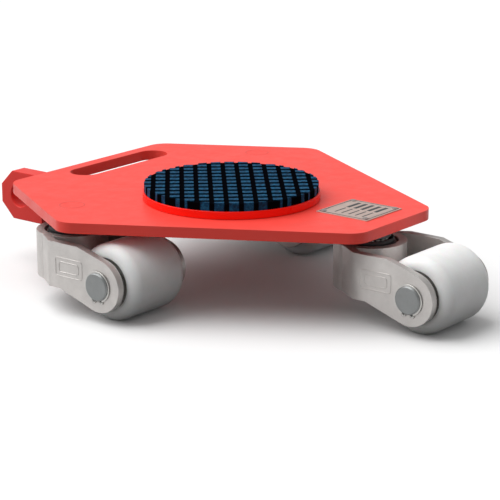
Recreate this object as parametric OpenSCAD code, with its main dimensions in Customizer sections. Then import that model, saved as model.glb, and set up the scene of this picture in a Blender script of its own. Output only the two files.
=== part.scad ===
// Low load dolly: a flat steel deck with a turntable and grip pad on top,
// a hand slot, a towing eye and three swivel casters with wide nylon rollers.
// Millimetres. Origin: centre of the grip pad's top face.
// +Z is up, +Y points from the turntable towards the hand slot and towing eye.

/* [Deck] */
// Thickness of the deck plate
deck_t = 10.3; // [8:0.1:14]
// From the caster centre to the three cut corners' edges
deck_corner_d = 197.5; // [192:0.5:240]
// From the caster centre to the two long side edges
deck_side_d = 150.3; // [140:0.1:182]
// From the caster centre to the hand slot's edge
deck_front_d = 197.4; // [192:0.1:240]
// Radius of the deck's corners
deck_corner_r = 22; // [10:1:30]
// Width of the hand slot
slot_w = 32; // [26:1:36]
// Length of the hand slot between its end centres
slot_run = 105; // [60:1:120]
// Steel left between the hand slot and the deck's edge
slot_web = 13.6; // [10:0.1:20]
// Sideways place of the hand slot's centre from the caster centre
slot_x = 17.7; // [0:0.1:20]

/* [Turntable] */
// Turntable centre from the caster centre, sideways
table_x = -26.3; // [-30:0.1:0]
// Turntable centre from the caster centre, along the length
table_y = -19.2; // [-25:0.1:0]
// Radius of the turntable disc
table_r = 87; // [75:0.5:95]
// Height of the disc's top above the deck
table_h = 7.8; // [7:0.1:12]
// Thickness of the grip pad
pad_t = 8.2; // [6:0.1:12]
// How far the pad's rim sits inside the disc's rim
pad_inset = 1.5; // [0.5:0.1:8]
// Pitch of the studs on the pad
stud_pitch = 13.9; // [12:0.1:18]
// Groove between the stud columns
column_gap = 4; // [2:0.1:6]
// Groove between the stud rows
row_gap = 6; // [2:0.1:8]
// Depth of the grooves in the pad
groove_d = 1; // [0.6:0.1:4]
// Angle of the stud rows
stud_angle = -49.5; // [-90:0.5:90]
// Radius of the turntable's pivot pin
pivot_r = 12; // [10:0.5:15]

/* [Casters] */
// From each kingpin's axis to the deck's edge beyond it
kingpin_edge = 30.5; // [28:0.5:36]
// Gap between the wheel and the hub in front of it
hub_gap = 4.8; // [3:0.1:8]
// Gap between the wheel's top and the deck's underside
wheel_top_gap = 9.3; // [6:0.1:14]
// Radius of the wheel
wheel_r = 37.2; // [34:0.1:45]
// Width of the wheel
wheel_w = 72.8; // [60:0.1:88]
// Radius of the wheel's shoulders
shoulder_r = 10; // [3:0.5:11]
// Radius of the axle
axle_r = 13.5; // [11:0.1:16.5]
// Side gap between the wheel and the fork
wheel_gap = 4.1; // [2:0.1:6]
// Thickness of the fork's strap
strap_t = 8; // [6:0.5:9]
// Gap between the deck's underside and the strap's top
strap_drop = 12.3; // [10:0.1:15]
// Height of the strap at its closed end
strap_h = 45.1; // [42:0.1:48]
// Radius of the fork's ends around the axle
tip_r = 25.6; // [22:0.1:28]
// Outer radius of the fork's round nose and hub
nose_r = 35; // [29:0.1:38]
// How far behind the kingpin's axis the fork's arms run straight
flare_back = 14; // [10:0.5:20]
// Gap between the lower swivel race and the nose around it
race_gap = 2.5; // [0.5:0.1:4]
// Height of the fork's hub
hub_h = 37.4; // [30:0.1:38]
// Radius of the kingpin in the hub
kingpin_r = 10; // [8:0.5:12]

/* [Towing eye and plate] */
// Thickness of the towing eye
tow_t = 18; // [12:1:24]
// How far the towing eye stands out from the deck's edge
tow_out = 49.4; // [42:0.1:60]
// Height of the towing eye
tow_h = 51; // [40:1:56]
// Corner cuts of the towing eye
tow_cut = 16; // [8:1:18]
// Radius of the towing hole
tow_hole_r = 12; // [8:0.5:13]
// From the front edge's left end to the middle of the towing eye
tow_corner = 43.8; // [36:0.1:50]
// Side of the square rating plate
rating_side = 58.7; // [40:0.1:62]
// Thickness of the rating plate
rating_t = 1; // [0.8:0.1:2]
// From the rating plate to the deck's rear edge
rating_gap = 21; // [14:0.5:26]
// Sideways place of the rating plate from the caster centre
rating_x = 9.2; // [-12:0.1:12]

/* [Hidden] */

$fn = 96;
deck_red = "#d63a35";
eye_red = "#e04040";
disc_red = "#f01408";
steel = "#b4b0ad";
grey_steel = "#8c8f8f";
dark_steel = "#55585a";
nylon = "#f2f2f0";

run_gap = 0.05;      // radial clearance of a pin that turns in a bore
slide_gap = 0.3;     // gap between faces that turn over each other
cut = 1;             // how far a cutting shape runs past the face it opens
ball_play = 0.1;     // how much smaller a bearing ball is than its gap
arc_steps = 12;      // steps in each rounded stretch of an outline
ball_steps = 24;     // steps around a bearing ball

// Heights, from the pad's top face at zero
deck_top = -(table_h + pad_t);
deck_low = deck_top - deck_t;
axle_z = deck_low - wheel_top_gap - wheel_r;
trail = nose_r + hub_gap + wheel_r;
strap_top = deck_low - strap_drop;
strap_low = strap_top - strap_h;

// Plan places, from the turntable's axis
centre = [-table_x, -table_y];
sides = ["left", "rear", "right"];
kingpin_angles = [150, 270, 30];
front_y = centre[1] + deck_front_d;
kingpin_d = deck_corner_d - kingpin_edge;
front_left = (deck_front_d / 2 - deck_corner_d) / cos(30);
tow_x = centre[0] + front_left + tow_corner;

// Pivot under the turntable
washer_t = 1;
washer_inset = 27;
washer_gap = 2;
washer_r = table_r - washer_inset;
pivot_head_rim = 6;
pivot_head_r = pivot_r + pivot_head_rim;
pivot_head_t = 3;
bushing_wall = 3;
bushing_r = pivot_r + bushing_wall;
thread_step = 2;
pivot_thread_r = pivot_r - thread_step;
pivot_washer_rim = 4;
pivot_washer_t = 2.5;
pivot_nut_t = 10;
pivot_nut_flats = 30;

// Fork strap in plan
fork_in = wheel_w / 2 + wheel_gap;
fork_out = fork_in + strap_t;
nose_in_r = nose_r - strap_t;
crease_angle = 12;
arm_spare = 6;
fork_reach = trail + tip_r + arm_spare;
top_run = 26;
low_run = 49;

// Swivel bearing
race_t = 8;
head_step = 2;
kingpin_head_r = kingpin_r + head_step;
top_race_wall = 8;
top_race_r = kingpin_head_r + top_race_wall;
lower_race_r = nose_in_r - race_gap;
lower_race_step = 1;
lower_race_in_r = kingpin_r + lower_race_step;
lower_race_t = 3;
race_sink = 0.6;
swivel_ball_count = 18;
swivel_ball_d = strap_drop + race_sink - race_t - ball_play;
swivel_pitch_r = (lower_race_in_r + top_race_r) / 2;
nut_flange_t = 2.7;
nut_flange_r = 15;
nut_t = 7;
nut_flats = 24;
thread_r = kingpin_r - thread_step;
thread_end = 2;
hub_low = strap_top - hub_h;
seat_z = strap_top - race_sink - lower_race_t;

// Wheel bearings
race_w = 9;
race_wall = 3.5;
ball_gap = 4;
race_in_r = axle_r + race_wall;
race_out_r = race_in_r + ball_gap;
outer_race_wall = 4;
seat_r = race_out_r + outer_race_wall;
ball_d = ball_gap - ball_play;
ball_count = 20;
race_inset = 1;
seat_lip = 3;
core_r = seat_r - seat_lip;
shoulder_wall = 2;
shoulder = min(shoulder_r, wheel_r - seat_r - shoulder_wall);

// Axle ends and circlips
axle_past = 3.5;
axle_chamfer = 1.2;
clip_t = 1.2;
clip_gap = 0.3;
clip_bite = 1.2;
clip_wall = 2.8;
clip_mouth = 6;

// Rating plate and its rivets
rating_at = [centre[0] + rating_x, centre[1] - deck_corner_d + rating_gap + rating_side / 2];
rivet_r = 1.6;
rivet_head_r = 2.8;
rivet_head_t = 0.9;
rivet_edge = 5;

// Where two straight edges meet; each has a normal's angle and a distance
function meet(a, da, b, db) =
    [da * sin(b) - db * sin(a), db * cos(a) - da * cos(b)] / sin(b - a);

// Points of an arc about a centre
function arc(c, r, from, to, steps) =
    [for (k = [0 : steps])
        let (turn = from + (to - from) * k / steps)
        c + r * [cos(turn), sin(turn)]];

// A convex outline from its edges' normals and distances, with rounded corners
function rounded(edges, r) =
    [for (i = [0 : len(edges) - 1])
        let (e = edges[i], f = edges[(i + 1) % len(edges)], turn = (f[0] - e[0] + 360) % 360)
        each arc(meet(e[0], e[1] - r, f[0], f[1] - r), r, e[0], e[0] + turn, arc_steps)];

// A slot outline along X with round ends
function slot_outline(run, w) =
    concat(arc([run / 2, 0], w / 2, -90, 90, 2 * arc_steps),
           arc([-run / 2, 0], w / 2, 90, 270, 2 * arc_steps));

// Angle at which a line from a point touches a circle
function touch_angle(c, r, p, side) =
    atan2(p[1] - c[1], p[0] - c[0]) + side * acos(r / norm(p - c));

// A ring standing on a level
module ring(outer, inner, low, high) {
    translate([0, 0, low]) difference() {
        cylinder(r = outer, h = high - low);
        translate([0, 0, -cut]) cylinder(r = inner, h = high - low + 2 * cut);
    }
}

// A disc standing on a level
module disc(r, low, high) {
    translate([0, 0, low]) cylinder(r = r, h = high - low);
}

// A hexagonal nut body with a bore
module hex(flats, bore, low, high) {
    translate([0, 0, low]) difference() {
        cylinder(r = flats / sqrt(3), h = high - low, $fn = 6);
        translate([0, 0, -cut]) cylinder(r = bore, h = high - low + 2 * cut);
    }
}

// Places a caster's part on its kingpin's axis
module at_caster(i) {
    angle = kingpin_angles[i];
    translate([centre[0] + kingpin_d * cos(angle), centre[1] + kingpin_d * sin(angle), 0]) children();
}

// Turns a shape drawn about Z onto the axle's line along X
module on_axle() {
    translate([0, -trail, axle_z]) rotate([0, 90, 0]) children();
}

// ---- deck ----

module deck_outline() {
    edges = [[90, deck_front_d], [150, deck_corner_d], [210, deck_side_d],
             [270, deck_corner_d], [330, deck_side_d], [30, deck_corner_d]];
    translate(centre) polygon(rounded(edges, deck_corner_r));
}

module deck_plate() {
    color(deck_red) difference() {
        translate([0, 0, deck_low]) linear_extrude(deck_t) deck_outline();
        translate([centre[0] + slot_x, front_y - slot_web - slot_w / 2, deck_low - cut])
            linear_extrude(deck_t + 2 * cut) polygon(slot_outline(slot_run, slot_w));
        disc(bushing_r, deck_low - cut, deck_top + cut);
        for (i = [0 : 2]) at_caster(i) disc(kingpin_head_r, deck_low - cut, deck_top + cut);
    }
}

module tow_eye() {
    under = 8;
    low = -tow_h;
    outline = [[0, 0], [tow_out - tow_cut, 0], [tow_out, -tow_cut], [tow_out, low + tow_cut],
               [tow_out - tow_cut, low], [-under, low], [-under, -deck_t], [0, -deck_t]];
    color(eye_red) translate([tow_x - tow_t / 2, front_y, deck_top]) difference() {
        rotate([90, 0, 90]) linear_extrude(tow_t) polygon(outline);
        translate([-cut, tow_out - tow_h / 2, -tow_h / 2])
            rotate([0, 90, 0]) cylinder(r = tow_hole_r, h = tow_t + 2 * cut);
    }
}

module at_rivets() {
    reach = rating_side / 2 - rivet_edge;
    for (x = [-1, 1], y = [-1, 1])
        translate([rating_at[0] + x * reach, rating_at[1] + y * reach, deck_top]) children();
}

module rating_plate() {
    color(grey_steel) difference() {
        translate([rating_at[0] - rating_side / 2, rating_at[1] - rating_side / 2, deck_top])
            cube([rating_side, rating_side, rating_t]);
        at_rivets() disc(rivet_r, -cut, rating_t + cut);
    }
}

module rating_plate_rivets() {
    color(grey_steel) at_rivets() union() {
        disc(rivet_r, 0, rating_t + rivet_head_t / 2);
        disc(rivet_head_r, rating_t, rating_t + rivet_head_t);
    }
}

module pivot_bushing() {
    color("#b08d57") ring(bushing_r, pivot_r + run_gap, deck_low, deck_top);
}

module thrust_washer() {
    color("#b08d57") ring(washer_r, bushing_r + washer_gap, deck_top, deck_top + washer_t);
}

// ---- turntable ----

module turntable_disc() {
    color(disc_red) difference() {
        disc(table_r, deck_top + slide_gap, deck_top + table_h);
        disc(washer_r + slide_gap, deck_top - cut, deck_top + washer_t + slide_gap);
        disc(pivot_r, deck_top - cut, deck_top + table_h + cut);
        disc(pivot_head_r, deck_top + table_h - pivot_head_t, deck_top + table_h + cut);
    }
}

module grip_pad() {
    pad_r = table_r - pad_inset;
    reach = ceil(pad_r / stud_pitch) + 0.5;
    color("#1d5a80") difference() {
        disc(pad_r, -pad_t, 0);
        rotate([0, 0, stud_angle]) for (k = [-reach : reach]) {
            translate([k * stud_pitch - column_gap / 2, -pad_r - cut, -groove_d])
                cube([column_gap, 2 * (pad_r + cut), groove_d + cut]);
            translate([-pad_r - cut, k * stud_pitch - row_gap / 2, -groove_d])
                cube([2 * (pad_r + cut), row_gap, groove_d + cut]);
        }
    }
}

module pivot_pin() {
    step_z = deck_low - slide_gap;
    color(grey_steel) union() {
        disc(pivot_head_r, -pad_t - pivot_head_t, -pad_t);
        disc(pivot_r, step_z, -pad_t - pivot_head_t);
        disc(pivot_thread_r, step_z - pivot_washer_t - pivot_nut_t - thread_end, step_z);
    }
}

module pivot_washer() {
    top = deck_low - slide_gap;
    color(steel) ring(pivot_head_r + pivot_washer_rim, pivot_thread_r, top - pivot_washer_t, top);
}

module pivot_nut() {
    top = deck_low - slide_gap - pivot_washer_t;
    color(steel) hex(pivot_nut_flats, pivot_thread_r, top - pivot_nut_t, top);
}

// ---- casters: pieces held by the deck ----

module kingpin() {
    step_z = hub_low - slide_gap;
    color(grey_steel) union() {
        disc(kingpin_head_r, deck_low - race_t, deck_top);
        disc(kingpin_r, step_z, deck_low - race_t);
        disc(thread_r, step_z - nut_flange_t - nut_t - thread_end, step_z);
    }
}

module top_race() {
    color(dark_steel) ring(top_race_r, kingpin_head_r, deck_low - race_t, deck_low);
}

module kingpin_nut() {
    top = hub_low - slide_gap;
    color(steel) union() {
        ring(nut_flange_r, thread_r, top - nut_flange_t, top);
        hex(nut_flats, thread_r, top - nut_flange_t - nut_t, top - nut_flange_t);
    }
}

// ---- casters: pieces that swivel ----

// The fork's side outline, in the plane of its arms
module arm_outline() {
    c = [-trail, axle_z];
    high = [-trail + top_run, strap_top];
    low = [-trail + low_run, strap_low];
    high_angle = touch_angle(c, tip_r, high, 1);
    low_angle = touch_angle(c, tip_r, low, -1) + 360;
    polygon(concat([[nose_r + cut, strap_top], high],
                   arc(c, tip_r, high_angle, low_angle, 3 * arc_steps),
                   [low, [nose_r + cut, strap_low]]));
}

// The fork in plan: a round nose about the kingpin that flares out to two straight arms
module fork_plan(nose, half, reach) {
    flare = -flare_back - (nose_r - nose) * tan(crease_angle) * 2;
    side_x = nose * cos(crease_angle);
    side_y = nose * sin(crease_angle);
    union() {
        circle(r = nose);
        polygon([[side_x, side_y], [-side_x, side_y], [-half, flare],
                 [-half, -reach], [half, -reach], [half, flare]]);
    }
}

module fork() {
    color(steel) difference() {
        intersection() {
            translate([0, 0, strap_low - tip_r]) linear_extrude(strap_h + 2 * tip_r) difference() {
                fork_plan(nose_r, fork_out, fork_reach);
                fork_plan(nose_in_r, fork_in, fork_reach + cut);
            }
            translate([-fork_out - cut, 0, 0]) rotate([90, 0, 90])
                linear_extrude(2 * (fork_out + cut)) arm_outline();
        }
        on_axle() cylinder(r = axle_r, h = 2 * (fork_out + cut), center = true);
    }
}

module hub() {
    color(steel) difference() {
        intersection() {
            disc(nose_r, hub_low, strap_top);
            translate([0, 0, hub_low - cut]) linear_extrude(hub_h + 2 * cut)
                fork_plan(nose_in_r, fork_in, fork_reach);
        }
        disc(nose_in_r, seat_z, strap_top + cut);
        disc(kingpin_r + run_gap, hub_low - cut, strap_top + cut);
    }
}

module lower_race() {
    color(dark_steel) ring(lower_race_r, lower_race_in_r, seat_z, seat_z + lower_race_t);
}

module swivel_balls() {
    level = seat_z + lower_race_t + swivel_ball_d / 2;
    color(grey_steel) for (k = [1 : swivel_ball_count])
        rotate([0, 0, k * 360 / swivel_ball_count])
            translate([swivel_pitch_r, 0, level]) sphere(d = swivel_ball_d, $fn = ball_steps);
}

module axle() {
    end = fork_out + axle_past;
    groove = fork_out + clip_gap;
    core = axle_r - clip_bite;
    half = [[end, 0], [end, axle_r - axle_chamfer], [end - axle_chamfer, axle_r],
            [groove + clip_t, axle_r], [groove + clip_t, core], [groove, core], [groove, axle_r]];
    mirrored = [for (k = [len(half) - 1 : -1 : 0]) [-half[k][0], half[k][1]]];
    outline = [for (p = concat(half, mirrored)) [p[1], p[0]]];
    color(grey_steel) on_axle() rotate_extrude() polygon(outline);
}

module circlips() {
    place = fork_out + clip_gap;
    core = axle_r - clip_bite;
    color(dark_steel) on_axle() for (side = [0, 1]) mirror([0, 0, side]) difference() {
        ring(core + clip_wall, core, place, place + clip_t);
        translate([0, -clip_mouth / 2, place - cut])
            cube([core + 2 * clip_wall, clip_mouth, clip_t + 2 * cut]);
    }
}

module inner_races() {
    face = wheel_w / 2 - race_inset;
    color(grey_steel) on_axle() for (side = [0, 1])
        mirror([0, 0, side]) ring(race_in_r, axle_r, face - race_w, face);
}

module axle_spacers() {
    face = wheel_w / 2 - race_inset;
    color(dark_steel) on_axle() for (side = [0, 1])
        mirror([0, 0, side]) ring(race_in_r, axle_r, face, fork_in);
}

// ---- casters: pieces that roll ----

module wheel() {
    half = wheel_w / 2;
    seat = race_inset + race_w;
    corner = half - shoulder;
    outline = concat([[core_r, -half + seat], [seat_r, -half + seat], [seat_r, -half]],
                     arc([wheel_r - shoulder, -corner], shoulder, -90, 0, arc_steps),
                     arc([wheel_r - shoulder, corner], shoulder, 0, 90, arc_steps),
                     [[seat_r, half], [seat_r, half - seat], [core_r, half - seat]]);
    color(nylon) on_axle() rotate_extrude() polygon(outline);
}

module outer_races() {
    face = wheel_w / 2 - race_inset;
    color(grey_steel) on_axle() for (side = [0, 1])
        mirror([0, 0, side]) ring(seat_r, race_out_r, face - race_w, face);
}

module wheel_balls() {
    place = wheel_w / 2 - race_inset - race_w / 2;
    color(steel) on_axle() for (side = [-1, 1], k = [1 : ball_count])
        rotate([0, 0, k * 360 / ball_count])
            translate([race_out_r - ball_d / 2, 0, side * place]) sphere(d = ball_d, $fn = ball_steps);
}

deck_plate();
tow_eye();
rating_plate();
rating_plate_rivets();
pivot_bushing();
thrust_washer();
turntable_disc();
grip_pad();
pivot_pin();
pivot_washer();
pivot_nut();
for (i = [0 : 2]) {
    at_caster(i) kingpin();
    at_caster(i) top_race();
    at_caster(i) kingpin_nut();
    at_caster(i) fork();
    at_caster(i) hub();
    at_caster(i) lower_race();
    at_caster(i) swivel_balls();
    at_caster(i) axle();
    at_caster(i) circlips();
    at_caster(i) inner_races();
    at_caster(i) axle_spacers();
    at_caster(i) wheel();
    at_caster(i) outer_races();
    at_caster(i) wheel_balls();
}
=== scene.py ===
"""Looks of the low load dolly: camera, light, floor, materials and the fine pieces on the CAD frame."""

import math

import bmesh
import bpy
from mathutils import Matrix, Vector


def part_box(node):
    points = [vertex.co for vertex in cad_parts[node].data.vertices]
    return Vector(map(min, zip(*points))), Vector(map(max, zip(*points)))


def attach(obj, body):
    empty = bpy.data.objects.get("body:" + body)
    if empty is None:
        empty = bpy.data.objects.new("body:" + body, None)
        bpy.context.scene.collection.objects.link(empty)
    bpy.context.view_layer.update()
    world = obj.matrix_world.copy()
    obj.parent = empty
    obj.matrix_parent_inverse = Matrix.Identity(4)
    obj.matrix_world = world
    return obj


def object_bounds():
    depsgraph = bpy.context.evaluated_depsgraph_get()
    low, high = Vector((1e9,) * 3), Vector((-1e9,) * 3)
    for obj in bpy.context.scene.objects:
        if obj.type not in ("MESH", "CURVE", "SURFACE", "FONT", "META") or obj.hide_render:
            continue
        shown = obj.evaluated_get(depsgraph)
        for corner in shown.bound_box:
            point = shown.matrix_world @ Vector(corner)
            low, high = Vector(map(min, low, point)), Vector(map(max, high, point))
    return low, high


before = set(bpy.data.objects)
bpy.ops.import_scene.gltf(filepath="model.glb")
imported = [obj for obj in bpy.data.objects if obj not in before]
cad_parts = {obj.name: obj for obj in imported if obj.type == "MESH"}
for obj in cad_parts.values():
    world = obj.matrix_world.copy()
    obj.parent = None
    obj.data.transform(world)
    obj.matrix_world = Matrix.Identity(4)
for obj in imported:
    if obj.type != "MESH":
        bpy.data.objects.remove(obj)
cad_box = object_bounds()

MM = 0.001
SIDES = ("left", "rear", "right")
ALONG_X = (1, 0, 0)
ALONG_Z = (0, 0, 1)

# ---------------------------------------------------------------- camera

VIEW_AZIMUTH = math.radians(-51.68)
VIEW_ELEVATION = math.radians(15.76)
VIEW_DISTANCE = 1.7
VIEW_TARGET = Vector((-0.1456, -0.1382, -0.0132))
LENS_MM = 138.97
SENSOR_MM = 36


def make_camera():
    """The camera looks from the deck's left rear, a little above it."""
    flat = math.cos(VIEW_ELEVATION)
    back = Vector((math.sin(VIEW_AZIMUTH) * flat, -math.cos(VIEW_AZIMUTH) * flat, math.sin(VIEW_ELEVATION)))
    data = bpy.data.cameras.new("camera")
    data.lens = LENS_MM
    data.sensor_width = SENSOR_MM
    camera = bpy.data.objects.new("camera", data)
    bpy.context.collection.objects.link(camera)
    camera.location = VIEW_TARGET + back * VIEW_DISTANCE
    camera.rotation_mode = "QUATERNION"
    camera.rotation_quaternion = (-back).to_track_quat("-Z", "Y")
    bpy.context.scene.camera = camera


# ---------------------------------------------------------------- light and floor

SUN_FROM = Vector((-0.35, 0.6, 1.0))
SUN_STRENGTH = 2.85
SUN_ANGLE = math.radians(66)
WORLD_STRENGTH = 0.42


def make_studio():
    """One very soft light, high on the camera's left, and an even pale surround."""
    world = bpy.data.worlds.new("studio")
    world.use_nodes = True
    background = world.node_tree.nodes["Background"]
    background.inputs["Color"].default_value = (1, 1, 1, 1)
    background.inputs["Strength"].default_value = WORLD_STRENGTH
    bpy.context.scene.world = world
    data = bpy.data.lights.new("softbox", "SUN")
    data.energy = SUN_STRENGTH
    data.angle = SUN_ANGLE
    light = bpy.data.objects.new("softbox", data)
    bpy.context.collection.objects.link(light)
    light.rotation_mode = "QUATERNION"
    light.rotation_quaternion = (-SUN_FROM).to_track_quat("-Z", "Y")


FLOOR_SEEN = 0.95
FLOOR_BOUNCE = 0.05
FLOOR_REACH = 9.0
FLOOR_ROUGHNESS = 0.6
FLOOR_SHINE = 0.1


def make_floor():
    """A pale floor that throws less light back onto the object than it shows to the camera."""
    mesh = bpy.data.meshes.new("floor")
    level = cad_box[0].z
    signs = ((-1, -1), (1, -1), (1, 1), (-1, 1))
    corners = [(x * FLOOR_REACH, y * FLOOR_REACH, level) for x, y in signs]
    mesh.from_pydata(corners, [], [(0, 1, 2, 3)])
    floor = bpy.data.objects.new("floor", mesh)
    bpy.context.collection.objects.link(floor)
    material = bpy.data.materials.new("floor_pale")
    material.use_nodes = True
    shader = material.node_tree.nodes["Principled BSDF"]
    path = material.node_tree.nodes.new("ShaderNodeLightPath")
    tone = material.node_tree.nodes.new("ShaderNodeMapRange")
    tone.inputs["To Min"].default_value = FLOOR_SEEN
    tone.inputs["To Max"].default_value = FLOOR_BOUNCE
    material.node_tree.links.new(path.outputs["Is Diffuse Ray"], tone.inputs["Value"])
    material.node_tree.links.new(tone.outputs["Result"], shader.inputs["Base Color"])
    shader.inputs["Roughness"].default_value = FLOOR_ROUGHNESS
    shader.inputs["Specular IOR Level"].default_value = FLOOR_SHINE
    mesh.materials.append(material)


# ---------------------------------------------------------------- node helpers

class Tree:
    """A short way to write a material's nodes."""

    def __init__(self, name):
        self.material = bpy.data.materials.new(name)
        self.material.use_nodes = True
        self.tree = self.material.node_tree
        self.shader = self.tree.nodes["Principled BSDF"]

    def node(self, kind, **settings):
        made = self.tree.nodes.new(kind)
        for key, value in settings.items():
            setattr(made, key, value)
        return made

    def link(self, source, target):
        self.tree.links.new(source, target)

    def coords(self, scale=(1, 1, 1)):
        """Object coordinates, in metres, times a scale."""
        place = self.node("ShaderNodeTexCoord")
        mapping = self.node("ShaderNodeMapping")
        mapping.inputs["Scale"].default_value = scale
        self.link(place.outputs["Object"], mapping.inputs["Vector"])
        return mapping.outputs["Vector"]

    def noise(self, scale, detail=3, rough=0.55, stretch=(1, 1, 1)):
        made = self.node("ShaderNodeTexNoise")
        made.inputs["Scale"].default_value = scale
        made.inputs["Detail"].default_value = detail
        made.inputs["Roughness"].default_value = rough
        self.link(self.coords(stretch), made.inputs["Vector"])
        return made.outputs["Fac"]

    def ramp(self, value, stops):
        """stops is a list of (position, colour)."""
        made = self.node("ShaderNodeValToRGB")
        elements = made.color_ramp.elements
        while len(elements) < len(stops):
            elements.new(0.5)
        for element, (position, colour) in zip(elements, stops):
            element.position = position
            element.color = (*colour, 1)
        self.link(value, made.inputs["Fac"])
        return made.outputs["Color"]

    def remap(self, value, low, high, from_low=0.3, from_high=0.7):
        made = self.node("ShaderNodeMapRange")
        made.inputs["From Min"].default_value = from_low
        made.inputs["From Max"].default_value = from_high
        made.inputs["To Min"].default_value = low
        made.inputs["To Max"].default_value = high
        self.link(value, made.inputs["Value"])
        return made.outputs["Result"]

    def bump(self, height, strength, distance):
        made = self.node("ShaderNodeBump")
        made.inputs["Strength"].default_value = strength
        made.inputs["Distance"].default_value = distance
        self.link(height, made.inputs["Height"])
        if self.shader.inputs["Normal"].links:
            self.link(self.shader.inputs["Normal"].links[0].from_socket, made.inputs["Normal"])
        self.link(made.outputs["Normal"], self.shader.inputs["Normal"])

    def set(self, **values):
        for key, value in values.items():
            self.shader.inputs[key.replace("_", " ")].default_value = value


def scaled(colour, factor):
    return tuple(min(1.0, c * factor) for c in colour)


def cloudy_steel(tree, colour):
    """A steel colour that is darker and lighter in soft patches."""
    cloud = tree.noise(38, detail=5, rough=0.6)
    return tree.ramp(cloud, [(0.3, scaled(colour, 0.88)), (0.7, scaled(colour, 1.08))])


def paint(name, colour, roughness=0.36):
    """Powder coat: a fine orange peel, slight clouding and duller patches."""
    tree = Tree(name)
    cloud = tree.noise(14, detail=4)
    tree.link(tree.ramp(cloud, [(0.35, scaled(colour, 0.975)), (0.65, scaled(colour, 1.02))]),
              tree.shader.inputs["Base Color"])
    tree.link(tree.remap(tree.noise(55, detail=5, rough=0.65), roughness - 0.05, roughness + 0.09),
              tree.shader.inputs["Roughness"])
    tree.bump(tree.noise(900, detail=2), strength=0.10, distance=0.0002)
    tree.bump(tree.noise(130, detail=3), strength=0.05, distance=0.0006)
    tree.set(Specular_IOR_Level=0.22, Coat_Weight=0.05, Coat_Roughness=0.25)
    return tree.material


def worked_steel(name, colour, roughness, metallic, stretch=(1, 1, 1)):
    """Rolled or ground metal, or rubber when metallic is 0: a fine grain, cloudy colour and small pits."""
    tree = Tree(name)
    tree.link(cloudy_steel(tree, colour), tree.shader.inputs["Base Color"])
    lines = tree.noise(260, detail=4, rough=0.6, stretch=stretch)
    tree.link(tree.remap(lines, roughness - 0.08, roughness + 0.10), tree.shader.inputs["Roughness"])
    tree.bump(lines, strength=0.12, distance=0.0003)
    tree.bump(tree.noise(1400, detail=2), strength=0.08, distance=0.0001)
    tree.set(Metallic=metallic)
    return tree.material


def roller_nylon():
    """Cast nylon: faint turning lines round the tread, soft light inside and a little scuffing."""
    tree = Tree("cast_nylon")
    scuff = tree.noise(70, detail=6, rough=0.7)
    tree.link(tree.ramp(scuff, [(0.3, (0.91, 0.91, 0.90)), (0.62, (0.97, 0.97, 0.965))]),
              tree.shader.inputs["Base Color"])
    tree.link(tree.remap(tree.noise(120, detail=4), 0.34, 0.5), tree.shader.inputs["Roughness"])
    tree.bump(tree.noise(900, detail=1, stretch=(1, 0.02, 0.02)), strength=0.10, distance=0.0002)
    tree.bump(tree.noise(240, detail=3), strength=0.04, distance=0.0004)
    tree.set(Subsurface_Weight=0.08, Subsurface_Scale=0.004, Specular_IOR_Level=0.4)
    return tree.material


PAINT_BLEND = 0.2 * MM


def kingpin_finish(red, colour, level):
    """Ground steel below a level, and the deck's paint above it."""
    tree = Tree("kingpin_finish")
    place = tree.node("ShaderNodeTexCoord")
    split = tree.node("ShaderNodeSeparateXYZ")
    tree.link(place.outputs["Object"], split.inputs["Vector"])
    painted = tree.remap(split.outputs["Z"], 0, 1, from_low=level, from_high=level + PAINT_BLEND)
    steel = cloudy_steel(tree, colour)
    mix = tree.node("ShaderNodeMix", data_type="RGBA")
    mix.inputs["B"].default_value = (*red, 1)
    tree.link(painted, mix.inputs["Factor"])
    tree.link(steel, mix.inputs["A"])
    tree.link(mix.outputs["Result"], tree.shader.inputs["Base Color"])
    tree.link(tree.remap(painted, 0.6, 0, from_low=0, from_high=1), tree.shader.inputs["Metallic"])
    tree.link(tree.remap(tree.noise(120, detail=4), 0.33, 0.46), tree.shader.inputs["Roughness"])
    tree.bump(tree.noise(260, detail=4, rough=0.6), strength=0.08, distance=0.0003)
    tree.set(Specular_IOR_Level=0.22)
    return tree.material


# The pad's studs: pitch and angle as in the CAD source, and blue faces a little smaller than the studs, so
# the grooves' painted shade runs a little way onto each stud
STUD_PITCH = 13.9 * MM
STUD_ANGLE = math.radians(-49.5)
STUD_FACE = (9.0 * MM, 7.7 * MM)
STUD_BLEND = 0.35 * MM


def stud_mask(tree):
    """1 over the studs and 0 over the grooves, where the grooves get painted shade, measured in plan about
    the turntable's axis.
    """
    place = tree.node("ShaderNodeTexCoord")
    turn = tree.node("ShaderNodeMapping")
    turn.inputs["Rotation"].default_value = (0, 0, -STUD_ANGLE)
    turn.inputs["Scale"].default_value = (1 / STUD_PITCH, 1 / STUD_PITCH, 1 / STUD_PITCH)
    tree.link(place.outputs["Object"], turn.inputs["Vector"])
    split = tree.node("ShaderNodeSeparateXYZ")
    tree.link(turn.outputs["Vector"], split.inputs["Vector"])
    masks = []
    for axis, width in zip("XY", STUD_FACE):
        off = tree.node("ShaderNodeMath", operation="PINGPONG")
        off.inputs[1].default_value = 0.5
        tree.link(split.outputs[axis], off.inputs[0])
        edge, blend = width / 2 / STUD_PITCH, STUD_BLEND / STUD_PITCH
        masks.append(tree.remap(off.outputs["Value"], 1, 0, from_low=edge - blend, from_high=edge + blend))
    both = tree.node("ShaderNodeMath", operation="MULTIPLY")
    tree.link(masks[0], both.inputs[0])
    tree.link(masks[1], both.inputs[1])
    return both.outputs["Value"]


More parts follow.
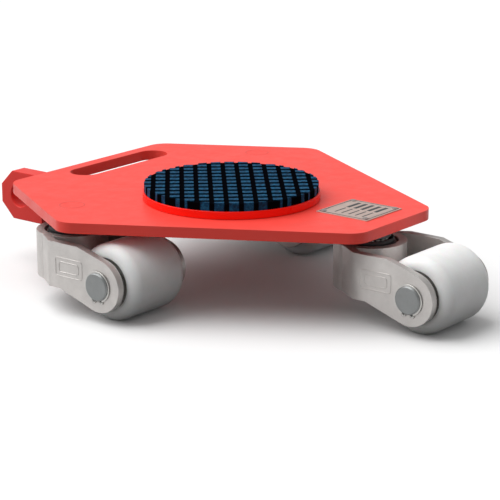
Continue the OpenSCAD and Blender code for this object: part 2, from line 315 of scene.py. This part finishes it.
def pad_rubber():
    """Moulded rubber: speckled blue studs, with painted shade, near-black and without shine, over the grooves
    between them.
    """
    tree = Tree("pad_rubber")
    stops = [(0.36, (0.002, 0.016, 0.036)), (0.5, (0.002, 0.056, 0.130)), (0.72, (0.012, 0.160, 0.300))]
    blue = tree.ramp(tree.noise(260, detail=6, rough=0.75), stops)
    mix = tree.node("ShaderNodeMix", data_type="RGBA")
    # Painted shade: near-black and without shine in the grooves between the studs
    mix.inputs["A"].default_value = (0.002, 0.002, 0.003, 1)
    studs = stud_mask(tree)
    tree.link(studs, mix.inputs["Factor"])
    tree.link(tree.remap(studs, 0.0, 0.10, from_low=0, from_high=1), tree.shader.inputs["Specular IOR Level"])
    tree.link(blue, mix.inputs["B"])
    tree.link(mix.outputs["Result"], tree.shader.inputs["Base Color"])
    tree.link(tree.remap(tree.noise(160, detail=5), 0.5, 0.72), tree.shader.inputs["Roughness"])
    tree.bump(tree.noise(1100, detail=3, rough=0.7), strength=0.35, distance=0.0004)
    tree.bump(tree.noise(300, detail=2), strength=0.12, distance=0.0008)
    return tree.material


def plate_metal():
    """Brushed, anodised sheet with a warm tint."""
    tree = Tree("plate_brushed")
    lines = tree.noise(120, detail=5, rough=0.65, stretch=(1, 14, 1))
    tree.link(tree.ramp(lines, [(0.3, (0.56, 0.42, 0.37)), (0.7, (0.74, 0.58, 0.52))]),
              tree.shader.inputs["Base Color"])
    tree.link(tree.remap(lines, 0.3, 0.48), tree.shader.inputs["Roughness"])
    tree.bump(lines, strength=0.1, distance=0.0002)
    tree.set(Metallic=0.45)
    return tree.material


# ---------------------------------------------------------------- CAD node finish

SMOOTH_ANGLE = math.radians(32)
ROUND_ANGLE = math.radians(34)
SEAM_REACH = 0.005 * MM


def smooth_group():
    """Shades by angle, after the imported normals are dropped."""
    group = bpy.data.node_groups.new("smooth_by_angle", "GeometryNodeTree")
    group.interface.new_socket("Geometry", in_out="INPUT", socket_type="NodeSocketGeometry")
    group.interface.new_socket("Geometry", in_out="OUTPUT", socket_type="NodeSocketGeometry")
    nodes, links = group.nodes, group.links
    start, end = nodes.new("NodeGroupInput"), nodes.new("NodeGroupOutput")
    drop = nodes.new("GeometryNodeRemoveAttribute")
    drop.inputs["Name"].default_value = "custom_normal"
    angle = nodes.new("GeometryNodeInputMeshEdgeAngle")
    compare = nodes.new("FunctionNodeCompare")
    compare.data_type = "FLOAT"
    compare.operation = "LESS_EQUAL"
    compare.inputs["B"].default_value = SMOOTH_ANGLE
    links.new(angle.outputs["Unsigned Angle"], compare.inputs["A"])
    edges = nodes.new("GeometryNodeSetShadeSmooth")
    edges.domain = "EDGE"
    links.new(compare.outputs["Result"], edges.inputs["Shade Smooth"])
    faces = nodes.new("GeometryNodeSetShadeSmooth")
    faces.domain = "FACE"
    faces.inputs["Shade Smooth"].default_value = True
    links.new(start.outputs[0], drop.inputs["Geometry"])
    links.new(drop.outputs["Geometry"], edges.inputs["Geometry"])
    links.new(edges.outputs["Geometry"], faces.inputs["Geometry"])
    links.new(faces.outputs["Geometry"], end.inputs[0])
    return group


def finish_node(name, material, bevel, segments, shading):
    """Gives a CAD node its material, welds its seams, and rounds its sharp edges where bevel isn't 0."""
    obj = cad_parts[name]
    obj.data.materials.clear()
    obj.data.materials.append(material)
    weld = obj.modifiers.new("weld", "WELD")
    weld.merge_threshold = SEAM_REACH
    if bevel:
        round_edges = obj.modifiers.new("edges", "BEVEL")
        round_edges.width = bevel
        round_edges.segments = segments
        round_edges.limit_method = "ANGLE"
        round_edges.angle_limit = ROUND_ANGLE
        round_edges.use_clamp_overlap = True
    smooth = obj.modifiers.new("smooth", "NODES")
    smooth.node_group = shading
    if bevel:
        flat_faces = obj.modifiers.new("flat_faces", "WEIGHTED_NORMAL")
        flat_faces.mode = "FACE_AREA_WITH_ANGLE"
        flat_faces.keep_sharp = True


# ---------------------------------------------------------------- fine pieces

def add_piece(name, mesh_maker, material, body):
    """A new object from a bmesh, riding on a body."""
    bm = bmesh.new()
    mesh_maker(bm)
    bmesh.ops.recalc_face_normals(bm, faces=bm.faces)
    mesh = bpy.data.meshes.new(name)
    bm.to_mesh(mesh)
    bm.free()
    mesh.materials.append(material)
    for polygon in mesh.polygons:
        polygon.use_smooth = True
    obj = bpy.data.objects.new(name, mesh)
    bpy.context.collection.objects.link(obj)
    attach(obj, body)


# A direction that no swept path follows
OFF_AXIS = Vector((0.31, 0.17, 0.93))


def sweep(bm, path, radius_at, sides=10, closed=False):
    """A tube along a path; radius_at(k) gives its radius at point k."""
    rings = []
    count = len(path)
    turns = [2 * math.pi * s / sides for s in range(sides)]
    for k, point in enumerate(path):
        before = path[(k - 1) % count] if closed or k else point
        after = path[(k + 1) % count] if closed or k < count - 1 else point
        along = (after - before).normalized()
        side = along.cross(OFF_AXIS).normalized()
        up = side.cross(along)
        radius = radius_at(k)
        rings.append([bm.verts.new(point + radius * (math.cos(t) * side + math.sin(t) * up)) for t in turns])
    pairs = count if closed else count - 1
    for k in range(pairs):
        a, b = rings[k], rings[(k + 1) % count]
        for s in range(sides):
            t = (s + 1) % sides
            bm.faces.new((a[s], a[t], b[t], b[s]))
    if not closed:
        bm.faces.new(rings[0])
        bm.faces.new(list(reversed(rings[-1])))


# Points along one ripple of a weld bead
RIPPLE_STEPS = 6


def rippled(radius):
    """A bead's radius at point k of its path."""
    return lambda k: radius * (0.9 + 0.1 * math.cos(2 * math.pi * k / RIPPLE_STEPS))


def weld_bead(bm, start, end, radius, ripple):
    """A straight weld bead with a ripple every couple of millimetres."""
    length = (end - start).length
    count = max(8, int(length / (ripple / RIPPLE_STEPS)))
    path = [start.lerp(end, k / count) for k in range(count + 1)]
    sweep(bm, path, rippled(radius))


def lathe(bm, profile, centre, axis, steps=64):
    """A closed profile of (distance along axis, radius) turned about an axis."""
    turn = Vector((0, 0, 1)).rotation_difference(Vector(axis)).to_matrix()
    rings = []
    for s in range(steps):
        angle = 2 * math.pi * s / steps
        points = [Vector((r * math.cos(angle), r * math.sin(angle), h)) for h, r in profile]
        rings.append([bm.verts.new(centre + turn @ point) for point in points])
    count = len(profile)
    for s in range(steps):
        a, b = rings[s], rings[(s + 1) % steps]
        for k in range(count):
            j = (k + 1) % count
            bm.faces.new((a[k], a[j], b[j], b[k]))


def slab(bm, centre, size, edge):
    """A block with rounded edges."""
    made = bmesh.ops.create_cube(bm, size=1.0)
    bmesh.ops.scale(bm, vec=size, verts=made["verts"])
    bmesh.ops.translate(bm, vec=centre, verts=made["verts"])
    edges = list({e for v in made["verts"] for e in v.link_edges})
    bmesh.ops.bevel(bm, geom=edges, offset=edge, segments=2, affect="EDGES", profile=0.6)


def centre_of(node):
    """The middle of a CAD node's box."""
    low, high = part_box(node)
    return (low + high) / 2


def plan_centre(low, high, level):
    """The middle of a box as seen from above, at a level."""
    return Vector(((low.x + high.x) / 2, (low.y + high.y) / 2, level))


def rating_marks(bm):
    """A raised border and two columns of plain bars on the rating plate, with no lettering."""
    low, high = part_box("rating_plate")
    middle = (low + high) / 2
    top = high.z
    side = high.x - low.x
    line, thick, edge = 0.7 * MM, 0.36 * MM, 0.06 * MM
    inset = 2.2 * MM
    span = side - 2 * inset
    for sign in (-1, 1):
        offset = sign * (side / 2 - inset)
        slab(bm, Vector((middle.x, middle.y + offset, top)), (span, line, thick), edge)
        slab(bm, Vector((middle.x + offset, middle.y, top)), (line, span, thick), edge)
    rows, first, pitch, aside = 5, side * 0.30, side * 0.135, side * 0.19
    for k in range(rows):
        y = middle.y - first + k * pitch
        slab(bm, Vector((middle.x - aside, y, top)), (side * 0.30, 1.3 * MM, thick), edge)
        slab(bm, Vector((middle.x + aside, y, top)), (side * 0.34, 3.6 * MM, thick), edge)


def arm_mark(bm, side, sign):
    """Two plain pressed frames, one inside the other, on a fork arm, with no lettering."""
    low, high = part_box(side + "_fork")
    axle = centre_of(side + "_axle")
    face = high.x if sign > 0 else low.x
    ahead, above = 37 * MM, 11 * MM
    centre = Vector((face, axle.y + ahead, axle.z + above))
    for half_w, half_h in ((17 * MM, 9 * MM), (12.5 * MM, 5 * MM)):
        pressed_frame(bm, centre, half_w, half_h, corner=3 * MM, rise=0.5 * MM)


def pressed_frame(bm, centre, half_w, half_h, corner, rise):
    """A raised line round a rectangle with rounded corners, upright and facing X."""
    path = []
    steps = 32
    for k in range(steps):
        turn = 2 * math.pi * (k + 0.5) / steps
        y = math.copysign(half_w - corner, math.cos(turn)) + corner * math.cos(turn)
        z = math.copysign(half_h - corner, math.sin(turn)) + corner * math.sin(turn)
        path.append(centre + Vector((0, y, z)))
    sweep(bm, path, lambda k: rise, sides=8, closed=True)


def bearing_shields(bm, side):
    """The dished ring in each end of a roller, inside the bearing's outer race."""
    low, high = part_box(side + "_outer_races")
    centre = (low + high) / 2
    race_wall, width, slope = 3.9 * MM, 3.5 * MM, 0.5 * MM
    outer = (high.z - low.z) / 2 - race_wall
    inner = outer - width
    face = high.x - centre.x
    back, front = face - 1.1 * MM, face - 0.4 * MM
    for sign in (-1, 1):
        profile = [(sign * back, outer), (sign * front, outer - slope),
                   (sign * front, inner + slope), (sign * back, inner)]
        lathe(bm, profile, centre, ALONG_X)


def dust_lip(bm, side):
    """The rubber lip between the two swivel races."""
    low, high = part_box(side + "_lower_race")
    outer = (high.x - low.x) / 2
    profile = [(0, outer - 5.4 * MM), (0, outer - 1.2 * MM), (1.4 * MM, outer - 1.8 * MM),
               (3.6 * MM, outer - 2.2 * MM), (3.9 * MM, outer - 2.8 * MM), (1.6 * MM, outer - 3.2 * MM)]
    lathe(bm, profile, plan_centre(low, high, high.z), ALONG_Z, steps=96)


def head_ring(bm, side):
    """The shallow weld ring, ground flat, round a kingpin's flush head."""
    low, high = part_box(side + "_kingpin")
    radius = (high.x - low.x) / 2
    foot, crown, sunk, proud = 0.9 * MM, 0.6 * MM, -0.3 * MM, 0.10 * MM
    profile = [(sunk, radius - foot), (proud, radius - crown), (proud, radius + crown), (sunk, radius + foot)]
    lathe(bm, profile, plan_centre(low, high, high.z), ALONG_Z, steps=96)


def tow_welds(bm):
    """Beads on both sides of the towing eye, up the deck's edge and along its underside."""
    low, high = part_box("tow_eye")
    deck_low, deck_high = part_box("deck_plate")
    ripple = 2.4 * MM
    out = deck_high.y + 1.0 * MM
    under = deck_low.z - 0.6 * MM
    for x in (low.x, high.x):
        weld_bead(bm, Vector((x, out, deck_low.z + 1 * MM)), Vector((x, out, deck_high.z - 1.5 * MM)),
                  2.2 * MM, ripple)
        weld_bead(bm, Vector((x, low.y + 1 * MM, under)), Vector((x, deck_high.y - 1 * MM, under)),
                  2.4 * MM, ripple)


def hub_weld(bm, side):
    """A curved bead inside the fork's nose, along the hub's lower edge."""
    low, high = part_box(side + "_kingpin")
    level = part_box(side + "_hub")[0].z
    centre = plan_centre(low, high, level)
    radius, bead = 26.4 * MM, 2.2 * MM
    start_degrees, span_degrees, count = 22, 136, 150
    turns = [math.radians(start_degrees + span_degrees * k / count) for k in range(count + 1)]
    path = [centre + radius * Vector((math.cos(t), math.sin(t), 0)) for t in turns]
    sweep(bm, path, rippled(bead))


def nut_insert(bm, side):
    """The nylon locking ring inside the kingpin nut's outer end, which faces the floor."""
    low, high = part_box(side + "_kingpin_nut")
    profile = [(0.4 * MM, 8.1 * MM), (-0.6 * MM, 8.3 * MM), (-0.9 * MM, 9.2 * MM), (-0.6 * MM, 10.2 * MM),
               (0.4 * MM, 10.6 * MM)]
    lathe(bm, profile, plan_centre(low, high, low.z), ALONG_Z)


def clip_ears(bm, side):
    """The rounded ears at the mouth of each circlip."""
    low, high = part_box(side + "_circlips")
    middle = (low.x + high.x) / 2
    axle = centre_of(side + "_axle")
    half_t, hole, rim = 0.6 * MM, 0.7 * MM, 2.0 * MM
    apart, below = 4.6 * MM, 14.6 * MM
    profile = [(-half_t, hole), (-half_t, rim), (half_t, rim), (half_t, hole)]
    for sign in (-1, 1):
        face = middle + sign * ((high.x - low.x) / 2 - half_t)
        for lean in (-1, 1):
            lathe(bm, profile, Vector((face, axle.y + lean * apart, axle.z - below)), ALONG_X, steps=24)


# ---------------------------------------------------------------- assembly

def dress():
    """Finishes every CAD node and adds the fine pieces."""
    shading = smooth_group()
    deck_red = (0.96, 0.078, 0.060)
    deck_paint = paint("deck_powder_coat", deck_red)
    eye_paint = paint("eye_powder_coat", (0.90, 0.055, 0.045))
    disc_paint = paint("disc_powder_coat", (1.0, 0.010, 0.002), 0.3)
    fork_steel = worked_steel("fork_steel", (0.60, 0.575, 0.555), 0.42, 0.72, stretch=(1, 1, 6))
    axle_grey = (0.27, 0.28, 0.28)
    axle_steel = worked_steel("ground_steel", axle_grey, 0.38, 0.6)
    kingpin_steel = kingpin_finish(deck_red, axle_grey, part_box("deck_plate")[0].z)
    dark_steel = worked_steel("oiled_steel", (0.10, 0.105, 0.11), 0.42, 0.7)
    nut_steel = worked_steel("plated_steel", (0.55, 0.54, 0.52), 0.32, 0.9)
    bronze = worked_steel("sintered_bronze", (0.50, 0.33, 0.15), 0.4, 0.9)
    nylon = roller_nylon()
    plate = plate_metal()
    rubber = pad_rubber()
    seal = worked_steel("seal_rubber", (0.035, 0.036, 0.038), 0.6, 0.0)
    ring_paint = paint("deck_ring_paint", (0.84, 0.07, 0.055))

    # Node, material, width of its rounded edges in millimetres (0 for none), and their segments
    finishes = [
        ("deck_plate", deck_paint, 0.7, 3),
        ("tow_eye", eye_paint, 0.9, 3),
        ("rating_plate", plate, 0.2, 2),
        ("rating_plate_rivets", nut_steel, 0.35, 3),
        ("pivot_bushing", bronze, 0.2, 1),
        ("thrust_washer", bronze, 0.1, 1),
        ("turntable_disc", disc_paint, 0.6, 3),
        ("grip_pad", rubber, 0.3, 2),
        ("pivot_pin", axle_steel, 0.4, 2),
        ("pivot_washer", nut_steel, 0.3, 2),
        ("pivot_nut", nut_steel, 0.5, 2),
    ]
    for side in SIDES:
        finishes += [
            (side + "_kingpin", kingpin_steel, 0.2, 1),
            (side + "_top_race", dark_steel, 0.5, 2),
            (side + "_kingpin_nut", nut_steel, 0.5, 2),
            (side + "_fork", fork_steel, 0.7, 2),
            (side + "_hub", fork_steel, 0.8, 2),
            (side + "_lower_race", dark_steel, 0.5, 2),
            (side + "_swivel_balls", nut_steel, 0, 1),
            (side + "_axle", axle_steel, 0.25, 2),
            (side + "_circlips", nut_steel, 0.15, 1),
            (side + "_inner_races", nut_steel, 0.3, 2),
            (side + "_axle_spacers", nut_steel, 0.3, 2),
            (side + "_wheel", nylon, 0.5, 2),
            (side + "_outer_races", nut_steel, 0.3, 2),
            (side + "_wheel_balls", nut_steel, 0, 1),
        ]
    for name, material, bevel, segments in finishes:
        finish_node(name, material, bevel * MM, segments, shading)

    for side in SIDES:
        caster, roller = side + "_caster", side + "_roller"
        # Piece, what makes it, material, body and slot
        pieces = [
            ("arm_mark_left", lambda bm: arm_mark(bm, side, -1), fork_steel, caster, "fork_steel"),
            ("arm_mark_right", lambda bm: arm_mark(bm, side, 1), fork_steel, caster, "fork_steel"),
            ("bearing_shields", lambda bm: bearing_shields(bm, side), seal, roller, "race_steel"),
            ("dust_lip", lambda bm: dust_lip(bm, side), seal, caster, "race_steel"),
            ("head_ring", lambda bm: head_ring(bm, side), ring_paint, "deck", "deck_paint"),
            ("hub_weld", lambda bm: hub_weld(bm, side), fork_steel, caster, "fork_steel"),
            ("nut_insert", lambda bm: nut_insert(bm, side), seal, "deck", "race_steel"),
            ("clip_ears", lambda bm: clip_ears(bm, side), nut_steel, caster, "race_steel"),
        ]
        for name, maker, material, body, slot in pieces:
            add_piece(side + "_" + name, maker, material, body)

    add_piece("rating_marks", rating_marks, dark_steel, "deck")
    add_piece("tow_eye_welds", tow_welds, eye_paint, "deck")


make_camera()
make_studio()
make_floor()
bpy.context.scene.view_settings.view_transform = "Standard"
dress()
